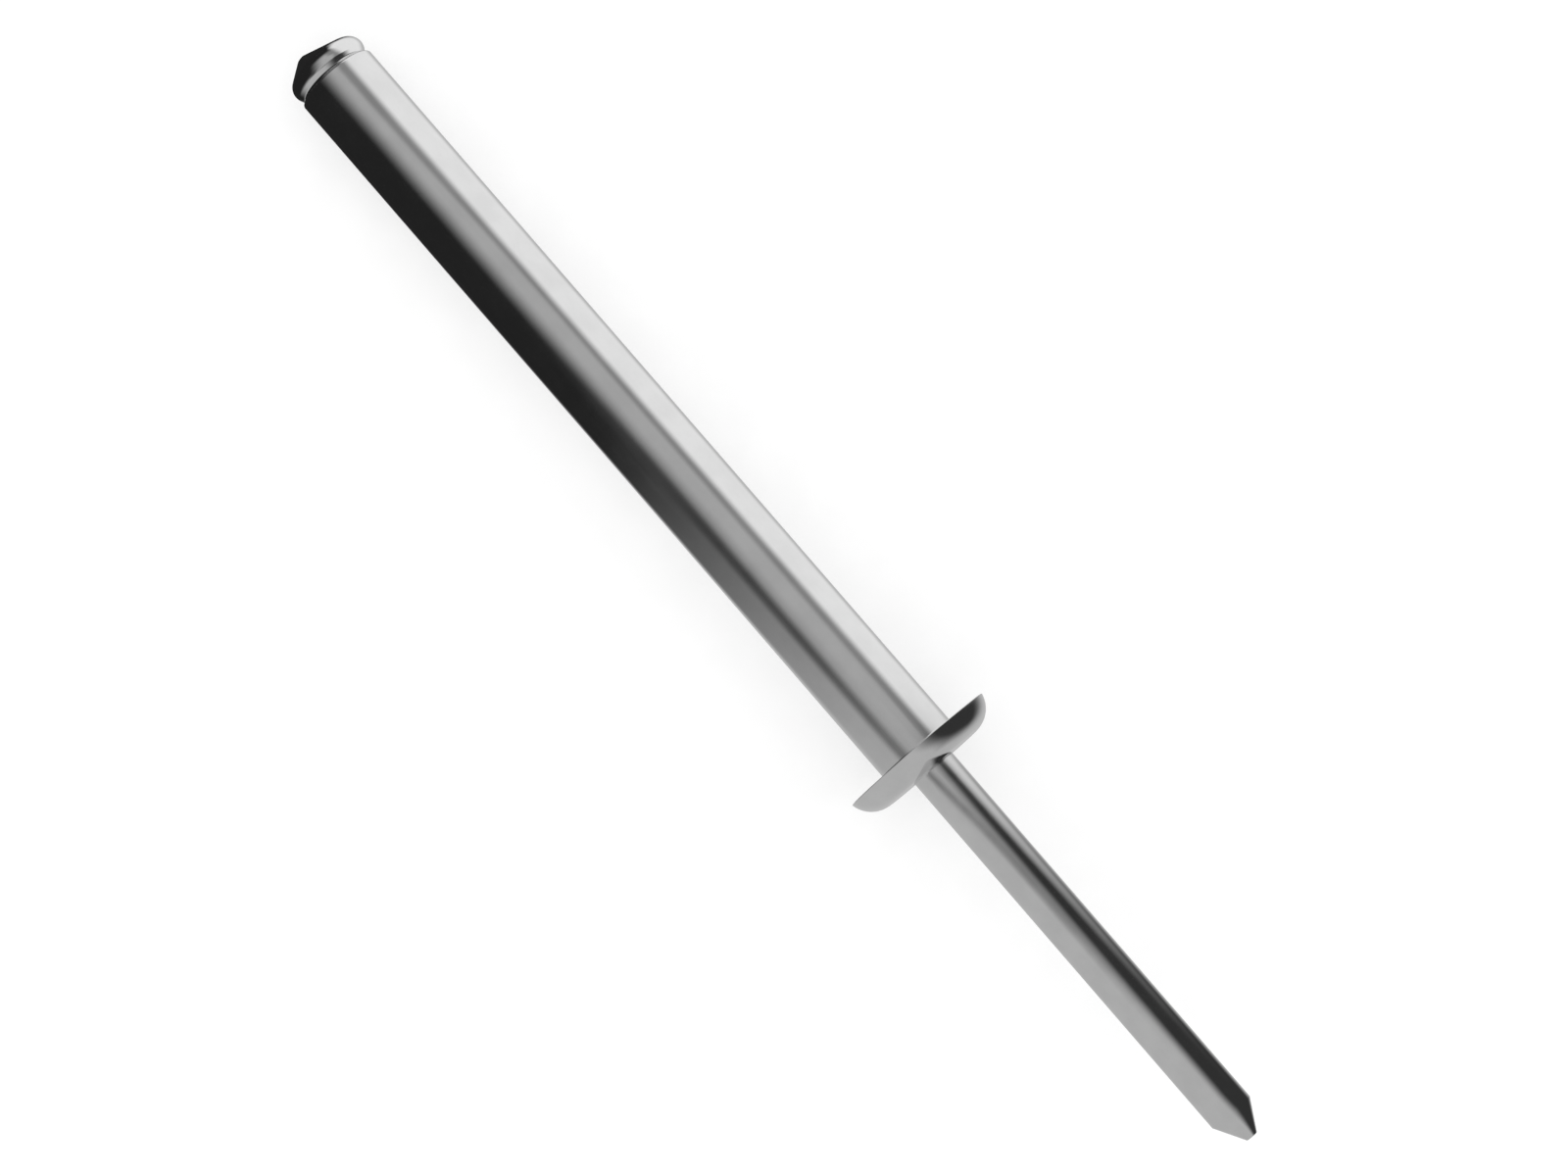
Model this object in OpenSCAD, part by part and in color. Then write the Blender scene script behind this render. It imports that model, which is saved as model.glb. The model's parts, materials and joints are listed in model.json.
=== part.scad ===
// Blind rivet 4.8 x 50: a tubular sleeve with a domed flange, on a headed pull mandrel.
// The rivet axis runs near +X, from the mandrel's head to its tip. The origin is the
// centre of the flange's bearing face, which meets the sheets being joined. The rivet
// lies as it comes to rest on a table below it: on the flange's rim and the bead of the
// mandrel's head, so its axis climbs a little towards the tip.

/* [Sleeve] */
// Outside diameter of the tubular sleeve
sleeve_d = 4.88; // [4.6:0.02:5.2]
// Length of the sleeve below the flange
sleeve_len = 50; // [20:0.5:60]
// Radial gap between the mandrel and the bore
bore_clear = 0.1; // [0.04:0.01:0.2]
// Rounding of the sleeve's outer end edge
end_round = 0.1; // [0.02:0.01:0.25]
// Rounding of both mouths of the bore
mouth_round = 0.14; // [0.1:0.01:0.25]

/* [Flange] */
// Outside diameter of the flange
flange_d = 9.5; // [8.4:0.1:11]
// Height of the flange above its bearing face
flange_h = 1.38; // [1:0.02:1.6]
// Radius of the flange's domed shoulder
dome_r = 1.7; // [1.6:0.05:2.3]
// Fillet between the sleeve and the bearing face
under_fillet = 0.12; // [0.04:0.01:0.3]

/* [Mandrel stem] */
// Diameter of the mandrel's wire
stem_d = 2.72; // [2.4:0.02:3]
// Distance from the bearing face to the end of the tip
stem_reach = 28.05; // [15:0.05:45]
// Length of the tapered tip
tip_len = 1.74; // [0.8:0.02:3]
// Diameter of the flat at the end of the tip
tip_d = 0.71; // [0.4:0.01:1.4]
// Diameter at the break neck
neck_d = 2.1; // [1.7:0.05:2.3]
// Width of the break neck at the wire's surface
neck_w = 0.9; // [0.6:0.05:1.6]
// Width of the flat root of the break neck
neck_root_w = 0.2; // [0.1:0.02:0.4]
// Distance from the head's underside to the middle of the break neck
neck_depth = 3.5; // [1.5:0.1:8]

/* [Mandrel head] */
// How far the head's bead stays inside the sleeve's outer surface
head_inset = 0.01; // [0.01:0.01:0.15]
// Section radius of the rounded bead round the head
bead_r = 0.72; // [0.5:0.02:0.95]
// Diameter of the head's flat underside
underside_d = 4.3; // [3.6:0.1:4.4]
// Height of the blunt nose above the head's underside
nose_h = 2.18; // [1.7:0.02:3]
// Diameter of the blunt nose
nose_d = 0.7; // [0.3:0.05:1.2]
// How far the cropped nose stands off the rivet's axis
nose_shift = 0.81; // [0:0.03:1]
// Slant of the nose's flat
nose_slant = 12; // [0:1:20]
// Fillet between the stem and the head's underside
root_fillet = 0.12; // [0.04:0.01:0.14]

/* [Fits] */
// Gap at which the head seats on the sleeve's end
seat_gap = 0.01; // [0.005:0.005:0.05]

/* [Hidden] */
$fn = 96;
head_fn = 64;         // facets round the mandrel's head
bead_fn = 28;         // facets round the bead's section
slice = 0.01;         // thickness of the discs that shape the head's two flats
past = 1;             // how far a cutting shape runs past what it cuts

sleeve_r = sleeve_d / 2;
stem_r = stem_d / 2;
bore_r = stem_r + bore_clear;
flange_r = flange_d / 2;
dome_z = flange_h - dome_r;                                // height of the dome arc's centre
crown_r = flange_r - sqrt(dome_r * dome_r - dome_z * dome_z);  // radius of the flat top
bead_ring_r = sleeve_r - head_inset - bead_r;              // radius of the bead's centre line
seat_z = -sleeve_len - seat_gap;                           // the head's underside
bead_z = seat_z - bead_r;

// The table touches the flange's rim and a circle of radius r whose centre lies z below
// the bearing face and ring_r off the axis. This is the angle between table and axis.
function slope_over(ring_r, z, r) =
    acos(r / norm([flange_r - ring_r, z])) - atan2(z, flange_r - ring_r);
rest_slope = min(
    slope_over(bead_ring_r, -bead_z, bead_r),
    slope_over(sleeve_r - end_round, sleeve_len - end_round, end_round)
);

// Lays a shape that was drawn round +Z, tip up, down along +X at the resting slope.
module laid_down() {
    rotate([0, 90 - rest_slope, 0]) children();
}

// The corner that a fillet of radius r fills, in the quadrant towards +X and -Y.
module fillet_corner(r) {
    difference() {
        translate([0, -r]) square(r);
        translate([r, -r]) circle(r);
    }
}

// What rounding an edge of radius r at the origin takes off a shape below and left of it.
module round_off(r) {
    difference() {
        translate([-r, -r]) square(r + past);
        translate([-r, -r]) circle(r);
        translate([-r - past, -r - past]) square([past, r + 2 * past]);
    }
}

// The flange's section: a flat top that runs into a domed shoulder and a sharp rim.
module flange_section() {
    square([crown_r, flange_h]);
    intersection() {
        translate([crown_r, dome_z]) circle(dome_r);
        translate([crown_r, 0]) square(dome_r);
    }
}

// The sleeve's wall, with its rounded end and the fillet under the flange.
module sleeve_section() {
    difference() {
        translate([0, -sleeve_len]) square([sleeve_r, sleeve_len]);
        translate([sleeve_r, -sleeve_len]) mirror([0, 1]) round_off(end_round);
    }
    translate([sleeve_r, 0]) fillet_corner(under_fillet);
}

// The bore, from mouth to mouth, with both mouths rounded.
module bore_section() {
    translate([0, -sleeve_len - past]) square([bore_r, sleeve_len + flange_h + 2 * past]);
    translate([bore_r, flange_h]) mirror([1, 0]) round_off(mouth_round);
    translate([bore_r, -sleeve_len]) mirror([1, 0]) mirror([0, 1]) round_off(mouth_round);
}

// Sleeve and flange: one cold-headed piece.
module rivet_body() {
    color([0.78, 0.79, 0.80])
    laid_down()
    rotate_extrude()
    difference() {
        union() {
            flange_section();
            sleeve_section();
        }
        bore_section();
    }
}

// A groove round the wire at height z: w wide at the surface, root_w wide at radius root_r.
module groove_section(z, w, root_r, root_w) {
    polygon([
        [stem_r + past, z - w / 2], [stem_r, z - w / 2], [root_r, z - root_w / 2],
        [root_r, z + root_w / 2], [stem_r, z + w / 2], [stem_r + past, z + w / 2]
    ]);
}

// The wire's section: tapered tip, break neck and the fillet under the head.
module stem_section() {
    difference() {
        polygon([
            [0, seat_z], [stem_r, seat_z], [stem_r, stem_reach - tip_len],
            [tip_d / 2, stem_reach], [0, stem_reach]
        ]);
        groove_section(seat_z + neck_depth, neck_w, neck_d / 2, neck_root_w);
    }
    translate([stem_r, seat_z]) mirror([0, 1]) fillet_corner(root_fillet);
}

// The head: a rounded bead on a flat underside, drawn over to a blunt nose that was
// cropped off the axis.
module mandrel_head() {
    hull() {
        translate([0, 0, seat_z - slice]) cylinder(h = slice, d = underside_d, $fn = head_fn);
        translate([0, 0, bead_z])
            rotate_extrude($fn = head_fn)
            translate([bead_ring_r, 0]) circle(bead_r, $fn = bead_fn);
        translate([0, -nose_shift, seat_z - nose_h])
            rotate([-nose_slant, 0, 0]) cylinder(h = slice, d = nose_d, $fn = head_fn);
    }
}

// The pull mandrel: one headed piece of wire.
module mandrel() {
    color([0.70, 0.71, 0.73])
    laid_down()
    union() {
        rotate_extrude() stem_section();
        mandrel_head();
    }
}

rivet_body();
mandrel();
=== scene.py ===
"""A blind rivet lying at rest on a pale table: the sleeve and the mandrel as smooth meshes."""
import json
import math

import bmesh
import bpy
from mathutils import Matrix, Vector


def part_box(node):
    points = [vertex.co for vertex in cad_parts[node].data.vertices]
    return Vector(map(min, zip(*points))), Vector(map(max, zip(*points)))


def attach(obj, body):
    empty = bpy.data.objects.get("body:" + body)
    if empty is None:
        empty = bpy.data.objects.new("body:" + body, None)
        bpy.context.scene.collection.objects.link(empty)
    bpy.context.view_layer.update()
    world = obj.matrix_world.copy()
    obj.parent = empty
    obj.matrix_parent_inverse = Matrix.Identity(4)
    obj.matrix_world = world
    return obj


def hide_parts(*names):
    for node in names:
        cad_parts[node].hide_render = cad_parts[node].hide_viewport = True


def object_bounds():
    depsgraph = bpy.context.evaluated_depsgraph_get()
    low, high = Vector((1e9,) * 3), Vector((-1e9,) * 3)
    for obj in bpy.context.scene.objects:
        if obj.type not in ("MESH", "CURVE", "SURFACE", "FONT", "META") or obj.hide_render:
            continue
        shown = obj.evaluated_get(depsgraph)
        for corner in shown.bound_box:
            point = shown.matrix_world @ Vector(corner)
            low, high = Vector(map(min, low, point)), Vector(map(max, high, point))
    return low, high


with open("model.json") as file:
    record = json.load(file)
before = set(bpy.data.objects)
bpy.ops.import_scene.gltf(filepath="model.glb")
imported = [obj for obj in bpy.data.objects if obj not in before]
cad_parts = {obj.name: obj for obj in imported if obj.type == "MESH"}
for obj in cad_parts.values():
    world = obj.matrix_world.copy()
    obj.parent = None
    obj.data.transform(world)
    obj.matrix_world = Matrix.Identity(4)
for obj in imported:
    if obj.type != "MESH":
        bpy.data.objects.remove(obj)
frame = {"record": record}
cad_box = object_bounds()
mounts = {m["name"]: m for m in frame["record"]["mounts"]}

MM = 0.001
COLUMNS = 288                      # vertices round the axis of either piece

# The studio, in metres.
TABLE_HALF = 3.0
REFLECTOR_R = 0.1
REFLECTOR_LENGTH = 4.0
CARD_R = 0.015
CARD_AT = -0.0555                  # the card near the mandrel's head, along the axis
CARD_FROM = -0.0515                # the place in the head that the card is painted for
CARD_SPREAD = 0.002                # how far off the axis the head's bead sees the card from
FLAG_LEVEL = 0.02                  # brightness of a black flag

# ---------------------------------------------------------------- sizes, in millimetres
# The rivet axis as the frame gives it: `along` points to the mandrel's tip.
along = Vector(mounts["mandrel_stem"]["axis"]).normalized()
across = Vector((0, 1, 0))
above = along.cross(across)
rest_slope = math.atan2(along.z, along.x)

body_low, body_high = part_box("rivet_body")
sleeve_r = mounts["shank"]["dims"]["r_mm"]
stem_r = mounts["mandrel_stem"]["dims"]["r_mm"]
flange_r = (body_high.y - body_low.y) / MM / 2
sleeve_len = 50.0
end_round = 0.1
mouth_round = 0.14
bore_clear = 0.1
bore_r = stem_r + bore_clear
flange_h = 1.38
dome_r = 1.7
rim_round = 0.035                  # the flange's rim is broken by this much
under_fillet = 0.12

stem_reach = 28.05
tip_len = 1.74
tip_r = 0.355
tip_round = 0.05
taper_blend = 1.5                  # the wire's shading eases into its taper over this length
neck_r, neck_w, neck_root_w, neck_depth = 1.05, 0.9, 0.2, 3.5
groove_round = 0.01
root_fillet = 0.12

seat_gap = 0.01
seat_x = -(sleeve_len + seat_gap)  # the head's underside
underside_r = 2.15
underside_round = 0.4
bead_r = 0.72
head_inset = 0.01                  # the bead stays this far inside the sleeve's outer surface
bead_ring_r = sleeve_r - head_inset - bead_r
bead_x = seat_x - bead_r
nose_h = 2.18
nose_x = seat_x - nose_h
nose_shift = 0.81
nose_r = 0.35
nose_slant = math.radians(12)
nose_round = 0.05


# ---------------------------------------------------------------- outlines and meshes
def arc(x, r, radius, start, end, steps=10):
    """Points (x, r, normal x, normal r) of an arc about (x, r), by angles in degrees from +x."""
    points = []
    for i in range(steps + 1):
        a = math.radians(start + (end - start) * i / steps)
        points.append((x + radius * math.cos(a), r + radius * math.sin(a), math.cos(a), math.sin(a)))
    return points


def rounded(corners, steps=8):
    """Rounds each inner (x, r, radius) corner of an open outline.

    The outline runs with its material on the left. Each point that comes back is
    (x, r, normal x, normal r), with the normal outward.
    """
    points = []
    for i in range(1, len(corners) - 1):
        radius = corners[i][2]
        before, here, after = (Vector(corner[:2]) for corner in corners[i - 1:i + 2])
        inward, onward = (here - before).normalized(), (after - here).normalized()
        turn = math.atan2(inward.cross(onward), inward.dot(onward))
        side = math.copysign(radius, turn)
        start = here - inward * abs(side * math.tan(turn / 2))
        centre = start + inward.orthogonal() * side
        for k in range(steps + 1):
            outward = Matrix.Rotation(turn * k / steps, 2) @ -inward.orthogonal()
            at = centre + outward * side
            points.append((at.x, at.y, outward.x, outward.y))
    first, last = corners[0], corners[-1]
    points.insert(0, (first[0], first[1], points[0][2], points[0][3]))
    points.append((last[0], last[1], points[-1][2], points[-1][3]))
    return points


def place(x, y, h):
    """A point in the rivet's own axes, in millimetres, as a place in the row frame."""
    return (along * x + across * y + above * h) * MM


def turned(outline):
    """Rows of (place, normal) that revolve an outline round the rivet's axis."""
    rows = []
    for x, r, nx, nr in outline:
        row = []
        for j in range(COLUMNS):
            a = 2 * math.pi * j / COLUMNS
            c, s = math.cos(a), math.sin(a)
            row.append((place(x, r * c, r * s), along * nx + (across * c + above * s) * nr))
        rows.append(row)
    return rows


def skin(name, rows, first_pole=None, last_pole=None, closed=False):
    """A mesh over rows of (place, normal), closed in a loop or with a pole at each end."""
    vertices = [p for row in rows for p, n in row]
    normals = [n for row in rows for p, n in row]
    faces = []
    spans = len(rows) if closed else len(rows) - 1
    for i in range(spans):
        low, high = i * COLUMNS, (i + 1) % len(rows) * COLUMNS
        for j in range(COLUMNS):
            k = (j + 1) % COLUMNS
            faces.append((low + j, low + k, high + k, high + j))
    for pole, row in ((first_pole, 0), (last_pole, len(rows) - 1)):
        if pole is None:
            continue
        centre = len(vertices)
        vertices.append(pole[0])
        normals.append(pole[1])
        for j in range(COLUMNS):
            a, b = row * COLUMNS + j, row * COLUMNS + (j + 1) % COLUMNS
            faces.append((centre, b, a) if row == 0 else (centre, a, b))
    mesh = bpy.data.meshes.new(name)
    mesh.from_pydata([tuple(v) for v in vertices], [], faces)
    mesh.update()
    if mesh.polygons[0].normal.dot(normals[0]) < 0:
        mesh.flip_normals()
    mesh.shade_smooth()
    mesh.normals_split_custom_set_from_vertices([n.normalized() for n in normals])
    piece = bpy.data.objects.new(name, mesh)
    bpy.context.scene.collection.objects.link(piece)
    return piece


def sleeve_outline():
    """The sleeve and flange: once round the wall's section, bore included."""
    dome_x = flange_h - dome_r
    crown_r = flange_r - math.sqrt(dome_r ** 2 - dome_x ** 2)
    rim_angle = math.acos((rim_round - dome_x) / (dome_r - rim_round))
    rim_r = crown_r + (dome_r - rim_round) * math.sin(rim_angle)
    rim_turn = math.degrees(rim_angle)
    outline = arc(flange_h - mouth_round, bore_r + mouth_round, mouth_round, -90, 0)
    outline += arc(dome_x, crown_r, dome_r, 0, rim_turn, 40)
    outline += arc(rim_round, rim_r, rim_round, rim_turn, 180)[1:]
    fillet = arc(-under_fillet, sleeve_r + under_fillet, under_fillet, 0, -90)
    outline += [(x, r, -nx, -nr) for x, r, nx, nr in fillet]
    outline += arc(end_round - sleeve_len, sleeve_r - end_round, end_round, 90, 180)
    outline += arc(mouth_round - sleeve_len, bore_r + mouth_round, mouth_round, 180, 270)
    return outline


def stem_outline():
    """The wire, from the flat of its tip to where the head's underside meets the bead.

    The corner at the start of the taper is sharp, and only its shading is eased.
    """
    taper_x = stem_reach - tip_len
    taper = rounded([(stem_reach, 0, 0), (stem_reach, tip_r, tip_round), (taper_x, stem_r, 0)])
    shade = math.atan2(stem_r - tip_r, tip_len) / 2
    taper[-1] = (taper_x, stem_r, math.sin(shade), math.cos(shade))
    neck_x = seat_x + neck_depth
    corners = [
        (taper_x - taper_blend, stem_r, 0),
        (neck_x + neck_w / 2, stem_r, groove_round), (neck_x + neck_root_w / 2, neck_r, groove_round),
        (neck_x - neck_root_w / 2, neck_r, groove_round), (neck_x - neck_w / 2, stem_r, groove_round),
    ]
    corners += [
        (seat_x, stem_r, root_fillet), (seat_x, underside_r, underside_round),
        (bead_x + bead_r * math.sin(under_bevel), bead_ring_r + bead_r * math.cos(under_bevel), 0),
    ]
    return taper[1:] + rounded(corners)


def bevel_under_bead():
    """The tilt towards +x of the bevel that runs from the flat underside to the bead."""
    rise, run = seat_x - bead_x, underside_r - bead_ring_r
    return math.asin(bead_r / math.hypot(rise, run)) - math.atan2(run, rise)


def bead_support(n):
    """How far the bead reaches in the direction n."""
    return n.x * bead_x + bead_ring_r * math.hypot(n.y, n.z) + bead_r


under_bevel = bevel_under_bead()
nose_out = Vector((-math.cos(nose_slant), -math.sin(nose_slant), 0))
nose_centre = Vector((nose_x, -nose_shift, 0)) - nose_out * nose_round


def nose_rim(n):
    """The nose's rim point whose outward normal is n."""
    flat = n - nose_out * n.dot(nose_out)
    return nose_centre + flat.normalized() * (nose_r - nose_round) + n * nose_round


def head_rows():
    """The bead, drawn over to the cropped nose by the straight lines that touch both."""
    bead_rows, line_rows, nose_rows = 44, 10, 8
    steepest, halvings = math.radians(89), 40
    last_turn = 0.999                  # the last row stops just short of the nose's own normal
    columns = []
    for j in range(COLUMNS):
        a = 2 * math.pi * j / COLUMNS
        out = Vector((0, math.cos(a), math.sin(a)))

        def tilted(lift):
            return Vector((-math.sin(lift), 0, 0)) + out * math.cos(lift)

        low, high = 0.0, steepest
        for _ in range(halvings):
            middle = (low + high) / 2
            n = tilted(middle)
            if bead_support(n) > n.dot(nose_rim(n)):
                low = middle
            else:
                high = middle
        touch = tilted(low)
        column = []
        for i in range(1, bead_rows + 1):
            n = tilted(-under_bevel + (low + under_bevel) * i / bead_rows)
            at = Vector((bead_x, 0, 0)) + out * bead_ring_r + n * bead_r
            column.append((at, n))
        start, end = column[-1][0], nose_rim(touch)
        for i in range(1, line_rows + 1):
            column.append((start.lerp(end, i / line_rows), touch))
        for i in range(1, nose_rows + 1):
            n = touch.slerp(nose_out, i / nose_rows * last_turn)
            column.append((nose_rim(n), n))
        columns.append(column)
    rows = []
    for i in range(len(columns[0])):
        rows.append([
            (place(*c[i][0]), along * c[i][1].x + across * c[i][1].y + above * c[i][1].z)
            for c in columns
        ])
    return rows


def make_sleeve():
    return skin("sleeve_with_flange", turned(sleeve_outline()), closed=True)


def make_mandrel():
    rows = turned(stem_outline()) + head_rows()
    nose = place(*(nose_centre + nose_out * nose_round))
    nose_normal = along * nose_out.x + across * nose_out.y
    return skin("headed_wire", rows, (place(stem_reach, 0, 0), along), (nose, nose_normal))


# ---------------------------------------------------------------- materials
class Nodes:
    """A short way to add and wire the nodes of one material."""

    def __init__(self, name):
        self.material = bpy.data.materials.new(name)
        self.material.use_nodes = True
        self.tree = self.material.node_tree
        self.tree.nodes.clear()

    def add(self, kind, settings=None, **inputs):
        node = self.tree.nodes.new(kind)
        for key, value in (settings or {}).items():
            setattr(node, key, value)
        for key, value in inputs.items():
            socket = node.inputs[int(key[1:])] if key[0] == "_" else node.inputs[key.replace("_", " ")]
            if isinstance(value, bpy.types.NodeSocket):
                self.tree.links.new(value, socket)
            else:
                socket.default_value = value
        return node

    def math(self, operation, *values):
        inputs = {f"_{i}": v for i, v in enumerate(values)}
        return self.add("ShaderNodeMath", {"operation": operation}, **inputs).outputs[0]

    def ramp(self, value, low, high, to_low=0.0, to_high=1.0):
        """to_low where value is low, to_high where it is high, and a smooth step between."""
        node = self.add(
            "ShaderNodeMapRange", {"interpolation_type": "SMOOTHSTEP"},
            Value=value, From_Min=low, From_Max=high, To_Min=to_low, To_Max=to_high,
        )
        return node.outputs[0]

    def output(self, shader):
        self.add("ShaderNodeOutputMaterial", Surface=shader)
        return self.material


def metal(name, color, roughness, line_scale, line_depth, mottle_scale):
    """Bare drawn metal: fine lines along the axis, soft mottling, and roughness to match.

    The scales are per metre, and `line_depth` is in metres.
    """
    n = Nodes(name)
    place_in_object = n.add("ShaderNodeTexCoord").outputs["Object"]
    axial = n.add(
        "ShaderNodeMapping", Vector=place_in_object, Rotation=(0, rest_slope, 0)
    ).outputs[0]
    stretched = n.add("ShaderNodeMapping", Vector=axial, Scale=(0.02, 1, 1)).outputs[0]
    lines = n.add(
        "ShaderNodeTexNoise", Vector=stretched, Scale=line_scale, Detail=3.0, Roughness=0.6
    ).outputs[0]
    mottle = n.add(
        "ShaderNodeTexNoise", Vector=axial, Scale=mottle_scale, Detail=4.0, Roughness=0.55
    ).outputs[0]
    tone = n.ramp(mottle, 0.3, 0.7, 0.97, 1.03)
    shade = n.add("ShaderNodeVectorMath", {"operation": "SCALE"}, Vector=color, Scale=tone)
    rough = n.math("ADD", n.ramp(lines, 0.3, 0.7, -0.02, 0.02), n.ramp(mottle, 0.3, 0.7, -0.015, 0.015))
    relief = n.math("ADD", lines, n.math("MULTIPLY", mottle, 0.5))
    bump = n.add("ShaderNodeBump", Height=relief, Strength=1.0, Distance=line_depth)
    shader = n.add(
        "ShaderNodeBsdfPrincipled", Base_Color=shade.outputs[0], Metallic=1.0,
        Roughness=n.math("ADD", rough, roughness), Normal=bump.outputs[0],
    )
    return n.output(shader.outputs[0])


# ---------------------------------------------------------------- studio
def stage_mesh(name, mesh, material):
    """A piece of the studio, which is no part of the rivet."""
    thing = bpy.data.objects.new(name, mesh)
    thing.data.materials.append(material)
    bpy.context.scene.collection.objects.link(thing)
    return thing


def make_table():
    """A pale table top that keeps the shadow. The camera sees it about white where it is open.

    The metal doesn't reflect it: it reflects the tube round the rivet instead.
    """
    n = Nodes("table_top")
    place_in_object = n.add("ShaderNodeTexCoord").outputs["Object"]
    grain = n.add("ShaderNodeTexNoise", Vector=place_in_object, Scale=400.0, Detail=3.0).outputs[0]
    tone = n.ramp(grain, 0.3, 0.7, 0.49, 0.51)
    lift_to_white = 0.58
    color = n.add("ShaderNodeCombineColor", _0=tone, _1=tone, _2=tone).outputs[0]
    paper = n.add("ShaderNodeBsdfDiffuse", Color=color)
    seen = n.add("ShaderNodeLightPath").outputs["Is Camera Ray"]
    glow = n.add("ShaderNodeEmission", Strength=n.math("MULTIPLY", seen, lift_to_white))
    lifted = n.add("ShaderNodeAddShader", _0=paper.outputs[0], _1=glow.outputs[0])
    top = bmesh.new()
    at_table = Matrix.Translation((0, 0, cad_box[0].z))
    bmesh.ops.create_grid(top, x_segments=1, y_segments=1, size=TABLE_HALF, matrix=at_table)
    mesh = bpy.data.meshes.new("table_top")
    top.to_mesh(mesh)
    top.free()
    table = stage_mesh("table_top", mesh, n.output(lifted.outputs[0]))
    table.visible_glossy = False
    return table


def where_all(n, *masks):
    """The part of a surface that all the masks cover."""
    value = masks[0]
    for mask in masks[1:]:
        value = n.math("MULTIPLY", value, mask)
    return value


def laid_over(n, under, level, mask):
    """`level` where the mask covers, and `under` elsewhere."""
    mix = n.add("ShaderNodeMix", {"data_type": "FLOAT"}, _0=mask, _2=under, _3=level)
    return mix.outputs[0]


def studio_light(n, ahead, turn, past_head):
    """How bright the soft boxes and flags are at one place on a tube round the rivet.

    The place is given by `ahead`, the distance along the rivet's axis from the flange
    towards the tip in units of the tube's radius, and by `turn`, the angle in degrees about
    that axis from overhead towards +Y. `past_head` says what all this fades to past the
    mandrel's head: a level, where the fade starts and ends, and how much of it there is.
    """
    grey, overhead, slot, white = 0.555, 0.49, 0.29, 1.0
    # The overhead strip, with a darker slot between it and the soft box on the +Y side.
    light = laid_over(n, grey, overhead, where_all(
        n, n.ramp(turn, -60, -30), n.ramp(turn, 100, 80), n.ramp(ahead, 0.1, -0.02)))
    drift = n.ramp(ahead, -0.5, -0.75, 0, 4)
    slot_edge = n.math("ADD", turn, n.math("MULTIPLY", drift, 3.0))
    light = laid_over(n, light, slot, where_all(
        n, n.ramp(slot_edge, 27, 42), n.ramp(turn, 90, 80), n.ramp(ahead, 0.1, 0.0)))
    # The big flag on the -Y side of the sleeve.
    flag_top = n.math("SUBTRACT", turn, drift)
    flag_foot = n.math("SUBTRACT", turn, n.math("MULTIPLY", n.math("ADD", ahead, 0.42), 60.0))
    light = laid_over(n, light, FLAG_LEVEL, where_all(
        n, n.ramp(ahead, 0.06, -0.40), n.ramp(flag_top, 6, -46), n.ramp(flag_foot, -170, -144)))
    # The fade past the head, and a black flag band low on the tube there: a painted dark reflection where
    # the metal would otherwise see the floor.
    level, start, end, share = past_head
    light = laid_over(n, light, level, n.ramp(ahead, start, end, 0.0, share))
    light = laid_over(n, light, FLAG_LEVEL, where_all(
        n, n.ramp(ahead, -0.78, -1.1), n.ramp(n.math("ABSOLUTE", turn), 152, 168)))
    # A soft dark bar that joins the two flags over the flange.
    swerve = n.math("TANH", n.math("MULTIPLY", n.math("SUBTRACT", ahead, 0.015), 25.0))
    bar = n.math("SUBTRACT", n.math("ADD", turn, 21.0), n.math("MULTIPLY", swerve, 21.0))
    bar = n.math("DIVIDE", n.math("ABSOLUTE", bar), n.ramp(ahead, -0.02, 0.04, 1.0, 1.35))
    light = laid_over(n, light, n.ramp(ahead, -0.25, 0.12, 0.06, 0.28), where_all(
        n, n.ramp(bar, 24, 1), n.ramp(ahead, -0.5, -0.3), n.ramp(ahead, 0.32, 0.08)))
    # The round flag on the +Y side of the stem.
    tilt = n.math("DEGREES", n.math("ARCTANGENT", ahead))
    swing = n.math("DIVIDE", n.math("SUBTRACT", tilt, 22.0), 54.0)
    lift = n.math("DIVIDE", n.math("SUBTRACT", turn, 84.0), 80.0)
    reach = n.math("SQRT", n.math("ADD", n.math("MULTIPLY", swing, swing), n.math("MULTIPLY", lift, lift)))
    foot = n.math("SUBTRACT", turn, n.math("MULTIPLY", n.math("MINIMUM", ahead, 1.0), 20.0))
    light = laid_over(n, light, 0.04, where_all(
        n, n.ramp(reach, 1.18, 0.6), n.ramp(ahead, -0.045, 0.0), n.ramp(foot, 159, 108)))
    # The soft box on the +Y side of the sleeve, with rounded ends.
    off_middle = n.math("POWER", n.math("SUBTRACT", turn, 98.0), 2.0)
    left_end = n.math("SUBTRACT", ahead, n.math("MULTIPLY", off_middle, 0.00044))
    right_round = n.math("MULTIPLY", off_middle, n.ramp(ahead, -0.045, 0.0, 0.0, 0.00012))
    right = n.ramp(n.math("ADD", ahead, right_round), 0.40, -0.10)
    top = n.math("ADD", turn, n.ramp(ahead, -0.7, 0.0, 0.0, -8.0))
    return laid_over(n, light, white, where_all(
        n, n.ramp(top, 38, 60), n.ramp(turn, 155, 124), n.ramp(left_end, -3.4, -2.0), right, right))


def seen_in_reflections(name, shell, n, light):
    """A stage piece that only the metal's reflections see, made of a shell of faces."""
    mesh = bpy.data.meshes.new(name)
    shell.to_mesh(mesh)
    shell.free()
    glow = n.add("ShaderNodeEmission", Strength=light)
    thing = stage_mesh(name, mesh, n.output(glow.outputs[0]))
    thing.visible_camera = False
    thing.visible_diffuse = False
    thing.visible_transmission = False
    thing.visible_shadow = False
    return thing


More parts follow.
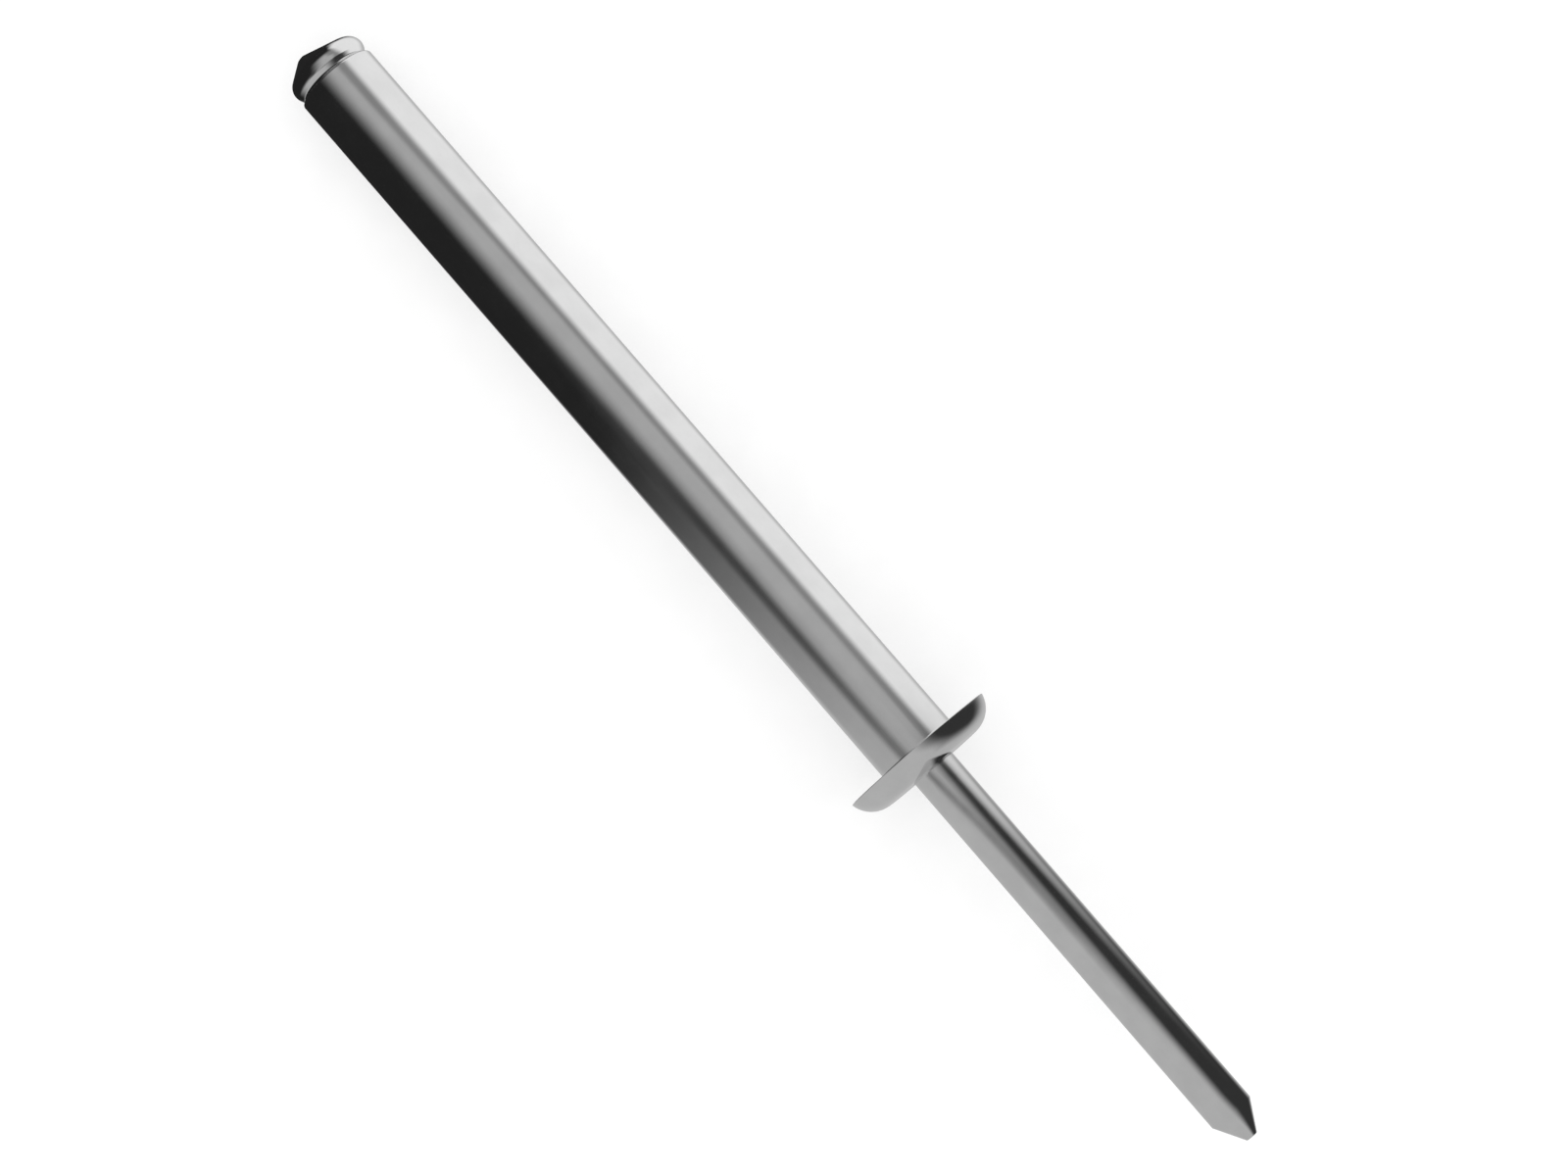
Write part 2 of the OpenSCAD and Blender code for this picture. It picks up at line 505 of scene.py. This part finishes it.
def place_about_axis(n):
    """Where a stage piece's surface is: along the rivet's axis, across it and above it."""
    place_on_piece = n.add("ShaderNodeTexCoord").outputs["Object"]
    parts = []
    for direction in (along, across, above):
        node = n.add("ShaderNodeVectorMath", {"operation": "DOT_PRODUCT"}, _0=place_on_piece, _1=direction)
        parts.append(node.outputs["Value"])
    return parts


def make_reflector():
    """A tube of soft boxes and flags round the rivet, which fades to grey past the head."""
    n = Nodes("soft_boxes_and_flags")
    x, y, h = place_about_axis(n)
    ahead = n.math("DIVIDE", x, REFLECTOR_R)
    turn = n.math("DEGREES", n.math("ARCTAN2", y, h))
    fade_to_grey = (0.5, -0.88, -1.02, 0.8)
    light = studio_light(n, ahead, turn, fade_to_grey)
    shell = bmesh.new()
    bmesh.ops.create_cone(
        shell, cap_ends=True, segments=180, radius1=REFLECTOR_R, radius2=REFLECTOR_R,
        depth=REFLECTOR_LENGTH, matrix=along.to_track_quat("Z", "Y").to_matrix().to_4x4(),
    )
    return seen_in_reflections("reflector", shell, n, light)


def make_head_card():
    """A small card close to the mandrel's head, so that the crown sees the flags run on.

    Each place on it is as bright as the tube behind it, seen from the side of the head's
    bead that reflects it, but for the fade, which is to black here.
    """
    n = Nodes("head_card")
    x, y, h = place_about_axis(n)
    off_axis = n.math("SQRT", n.math("ADD", n.math("MULTIPLY", y, y), n.math("MULTIPLY", h, h)))
    spread = n.ramp(off_axis, CARD_SPREAD / 2, 2 * CARD_SPREAD, 0.0, CARD_SPREAD)
    half_turn = n.math("MULTIPLY", n.math("ARCTAN2", y, h), 0.5)
    y = n.math("SUBTRACT", y, n.math("MULTIPLY", n.math("SINE", half_turn), spread))
    h = n.math("SUBTRACT", h, n.math("MULTIPLY", n.math("COSINE", half_turn), spread))
    run_out = n.math("SQRT", n.math("ADD", n.math("MULTIPLY", y, y), n.math("MULTIPLY", h, h)))
    ahead = n.math("SUBTRACT", CARD_FROM / REFLECTOR_R, n.math("DIVIDE", CARD_FROM - CARD_AT, run_out))
    turn = n.math("DEGREES", n.math("ARCTAN2", y, h))
    fade_to_black = (FLAG_LEVEL, -0.85, -1.75, 1.0)
    light = studio_light(n, ahead, turn, fade_to_black)
    # The nose sees the card's lowest part from nearer the axis, where it has to be dark too.
    straight_below = n.ramp(n.math("ABSOLUTE", half_turn), math.radians(80), math.radians(86))
    light = laid_over(n, light, FLAG_LEVEL, straight_below)
    shell = bmesh.new()
    facing = Matrix.Translation(along * CARD_AT) @ along.to_track_quat("Z", "Y").to_matrix().to_4x4()
    bmesh.ops.create_circle(shell, cap_ends=True, segments=64, radius=CARD_R, matrix=facing)
    return seen_in_reflections("head_card", shell, n, light)


def light_the_room():
    world = bpy.data.worlds.new("white_room")
    world.use_nodes = True
    world.node_tree.nodes["Background"].inputs["Color"].default_value = (1, 1, 1, 1)
    world.node_tree.nodes["Background"].inputs["Strength"].default_value = 1.0
    bpy.context.scene.world = world


def make_camera():
    """Looks down on the rivet, leaning a few degrees to the tip's side, head at top left.

    Lengths are in millimetres.
    """
    lens_mm, sensor_mm = 91.46, 36.0
    distance = 221.76                      # from the rivet's axis
    aim_x = -11.624                        # where the line of sight meets the axis
    aim_y = 0.28
    lean = math.radians(4.746)             # of the line of sight from square to the axis
    axis_angle = math.radians(49.115)      # of the axis below the horizontal, in the picture
    back = along * math.sin(lean) + above * math.cos(lean)
    run = along * math.cos(lean) - above * math.sin(lean)
    right = run * math.cos(axis_angle) + across * math.sin(axis_angle)
    up = across * math.cos(axis_angle) - run * math.sin(axis_angle)
    data = bpy.data.cameras.new("camera")
    data.sensor_width = sensor_mm
    data.lens = lens_mm
    data.clip_start, data.clip_end = 0.01, 100
    camera = bpy.data.objects.new("camera", data)
    eye = (along * aim_x + across * aim_y + back * distance) * MM
    camera.matrix_world = Matrix.Translation(eye) @ Matrix((right, up, back)).transposed().to_4x4()
    bpy.context.scene.collection.objects.link(camera)
    bpy.context.scene.camera = camera


# ---------------------------------------------------------------- the scene
make_camera()
light_the_room()
make_table()
make_reflector()
make_head_card()

sleeve = make_sleeve()
sleeve.data.materials.append(metal(
    "sleeve_metal", color=(0.722, 0.722, 0.722), roughness=0.12,
    line_scale=9000.0, line_depth=0.0000006, mottle_scale=500.0,
))
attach(sleeve, "root")
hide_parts("rivet_body")

mandrel = make_mandrel()
mandrel.data.materials.append(metal(
    "mandrel_metal", color=(0.720, 0.720, 0.720), roughness=0.10,
    line_scale=12000.0, line_depth=0.0000005, mottle_scale=600.0,
))
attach(mandrel, "root")
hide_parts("mandrel")

bpy.context.scene.view_settings.view_transform = "Standard"
